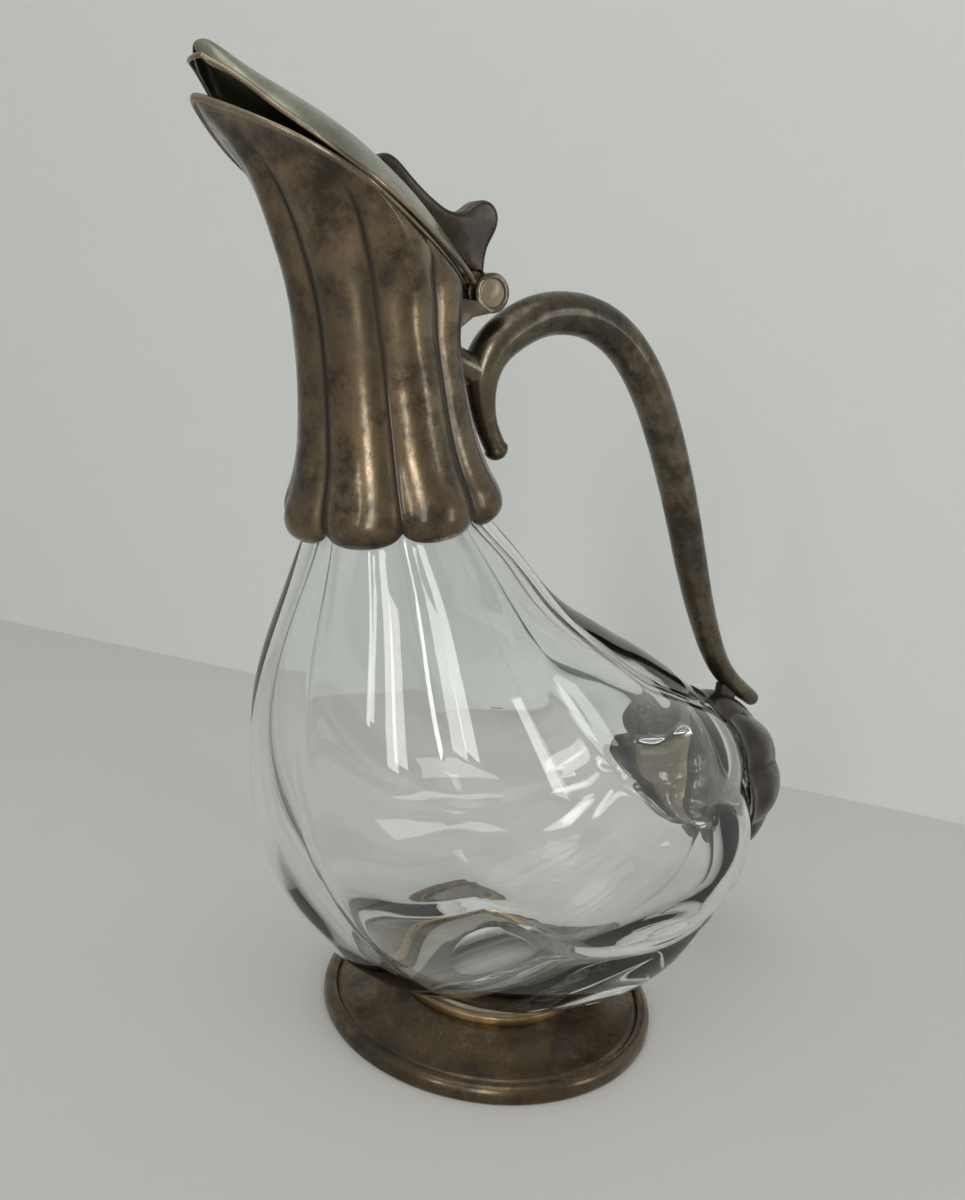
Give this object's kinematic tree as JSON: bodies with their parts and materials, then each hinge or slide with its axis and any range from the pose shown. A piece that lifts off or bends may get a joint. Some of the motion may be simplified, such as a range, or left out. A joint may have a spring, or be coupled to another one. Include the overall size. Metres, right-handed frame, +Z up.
{
  "type": "novelty decanter",
  "caption": "Fluted glass decanter shaped like a resting duck, with a metal collar and spout, hinged lid, bow handle, tail cap and round foot.",
  "frame": {"origin": "centre of the round foot on the table, within 2 mm of the middle of the bounds", "axes": "+Z up, -X towards the spout and the lid's nose, +X towards the tail cap, the XZ plane is the mirror plane"},
  "size_m": [0.2181, 0.1197, 0.2605],
  "materials": {
    "body_glass": "clear, polished",
    "cement": "matt plaster",
    "collar_metal": "tarnished silver plate over brass",
    "rim_metal": "tarnished silver plate over brass, worn bright",
    "hinge_metal": "tarnished silver plate over brass",
    "pin_steel": "drawn pin",
    "plug_metal": "worn bright",
    "lid_metal": "tarnished silver plate over brass",
    "thumb_metal": "tarnished silver plate over brass",
    "handle_metal": "tarnished silver plate over brass",
    "cap_metal": "tarnished silver plate over brass",
    "foot_metal": "tarnished silver plate over brass"
  },
  "bodies": {
    "vessel": {"glass_body": "body_glass", "neck_cement": "cement", "neck_collar": "collar_metal", "spout_rim": "rim_metal", "collar_knuckles": "hinge_metal", "hinge_pin": "pin_steel", "hinge_plug_near": "plug_metal", "hinge_plug_far": "plug_metal", "handle": "handle_metal", "handle_upper_pad": "handle_metal", "handle_lower_pad": "handle_metal", "tail_cap": "cap_metal", "tail_cement": "cement", "foot_shell": "foot_metal", "foot_rim": "foot_metal", "foot_cement_pad": "cement", "foot_seat_ring": "foot_metal"},
    "lid": {"lid_shell": "lid_metal", "lid_rim": "lid_metal", "thumb_piece": "thumb_metal", "lid_knuckle": "hinge_metal"}
  },
  "joints": [
    {"name": "lid_hinge", "type": "hinge", "parent": "vessel", "child": "lid", "pos_m": [-0.031, 0, 0.217], "axis": [0, 1, 0], "range_deg": [0, 60]}
  ]
}
